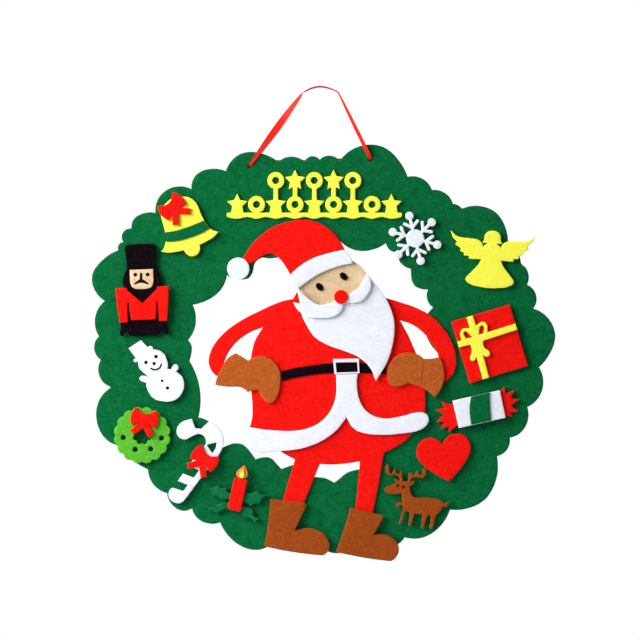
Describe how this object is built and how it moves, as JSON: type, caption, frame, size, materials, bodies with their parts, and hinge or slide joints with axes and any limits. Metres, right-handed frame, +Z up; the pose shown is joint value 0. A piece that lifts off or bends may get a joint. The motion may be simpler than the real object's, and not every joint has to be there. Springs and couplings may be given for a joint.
{
  "type": "felt wreath wall hanging",
  "caption": "Scalloped green felt wreath to hang on a wall by a satin ribbon, with a Father Christmas in its opening, a garland and loose felt ornaments that stick on.",
  "frame": {"origin": "the wall's hook, under the top of the ribbon's loop, in the board's middle plane", "axes": "+X to the viewer's right, +Z up, -Y towards the viewer; the board's back faces +Y"},
  "size_m": [0.6, 0.0207, 0.6138],
  "materials": {
    "green_felt": "needle-punched felt",
    "lime_felt": "needle-punched felt",
    "red_felt": "needle-punched felt",
    "white_felt": "needle-punched felt",
    "brown_felt": "needle-punched felt",
    "black_felt": "needle-punched felt",
    "beige_felt": "needle-punched felt",
    "yellow_felt": "needle-punched felt",
    "orange_felt": "needle-punched felt",
    "hook_tape": "hook tape",
    "red_satin": "satin ribbon"
  },
  "bodies": {
    "root": {"wreath_board": "green_felt", "ribbon_front": "red_satin", "ribbon_back": "red_satin", "ribbon_knot": "red_satin", "garland": "yellow_felt", "trousers": "red_felt", "coat": "red_felt", "belt": "black_felt", "buckle": "white_felt", "coat_trim": "white_felt", "face": "beige_felt", "left_eye": "black_felt", "right_eye": "black_felt", "nose": "red_felt", "left_moustache": "white_felt", "right_moustache": "white_felt", "beard": "white_felt", "hat": "red_felt", "hat_band": "white_felt", "hat_pompom": "white_felt", "left_mitten": "brown_felt", "right_mitten": "brown_felt", "left_boot": "brown_felt", "right_boot": "brown_felt"},
    "bell": {"bell_body": "yellow_felt", "bell_band": "green_felt", "bell_bow": "red_felt", "bell_hook_dot": "hook_tape"},
    "soldier": {"soldier_base": "black_felt", "soldier_face": "beige_felt", "soldier_jacket": "red_felt", "soldier_hook_dot": "hook_tape"},
    "snowman": {"snowman": "white_felt", "snowman_hook_dot": "hook_tape"},
    "small_wreath": {"small_wreath_ring": "lime_felt", "small_wreath_bow": "red_felt", "small_wreath_hook_dot": "hook_tape"},
    "cane": {"cane": "white_felt", "cane_bow": "red_felt", "cane_hook_dot": "hook_tape"},
    "candle": {"holly": "green_felt", "candle": "red_felt", "flame_outer": "orange_felt", "flame_inner": "yellow_felt", "candle_hook_dot": "hook_tape"},
    "snowflake": {"snowflake": "white_felt", "snowflake_hook_dot": "hook_tape"},
    "angel": {"angel": "yellow_felt", "angel_hook_dot": "hook_tape"},
    "gift": {"gift_box": "red_felt", "gift_ribbon": "yellow_felt", "gift_hook_dot": "hook_tape"},
    "candy": {"candy_ends": "red_felt", "candy_wrapper": "white_felt", "candy_stripe": "green_felt", "candy_hook_dot": "hook_tape"},
    "heart": {"heart": "red_felt", "heart_hook_dot": "hook_tape"},
    "reindeer": {"reindeer": "brown_felt", "reindeer_hook_dot": "hook_tape"}
  },
  "joints": [
    {"name": "bell_pull_off", "type": "slide", "parent": "root", "child": "bell", "axis": [0, -1, 0], "range_m": [0, 0.04]},
    {"name": "soldier_pull_off", "type": "slide", "parent": "root", "child": "soldier", "axis": [0, -1, 0], "range_m": [0, 0.04]},
    {"name": "snowman_pull_off", "type": "slide", "parent": "root", "child": "snowman", "axis": [0, -1, 0], "range_m": [0, 0.04]},
    {"name": "small_wreath_pull_off", "type": "slide", "parent": "root", "child": "small_wreath", "axis": [0, -1, 0], "range_m": [0, 0.04]},
    {"name": "cane_pull_off", "type": "slide", "parent": "root", "child": "cane", "axis": [0, -1, 0], "range_m": [0, 0.04]},
    {"name": "candle_pull_off", "type": "slide", "parent": "root", "child": "candle", "axis": [0, -1, 0], "range_m": [0, 0.04]},
    {"name": "snowflake_pull_off", "type": "slide", "parent": "root", "child": "snowflake", "axis": [0, -1, 0], "range_m": [0, 0.04]},
    {"name": "angel_pull_off", "type": "slide", "parent": "root", "child": "angel", "axis": [0, -1, 0], "range_m": [0, 0.04]},
    {"name": "gift_pull_off", "type": "slide", "parent": "root", "child": "gift", "axis": [0, -1, 0], "range_m": [0, 0.04]},
    {"name": "candy_pull_off", "type": "slide", "parent": "root", "child": "candy", "axis": [0, -1, 0], "range_m": [0, 0.04]},
    {"name": "heart_pull_off", "type": "slide", "parent": "root", "child": "heart", "axis": [0, -1, 0], "range_m": [0, 0.04]},
    {"name": "reindeer_pull_off", "type": "slide", "parent": "root", "child": "reindeer", "axis": [0, -1, 0], "range_m": [0, 0.04]}
  ]
}
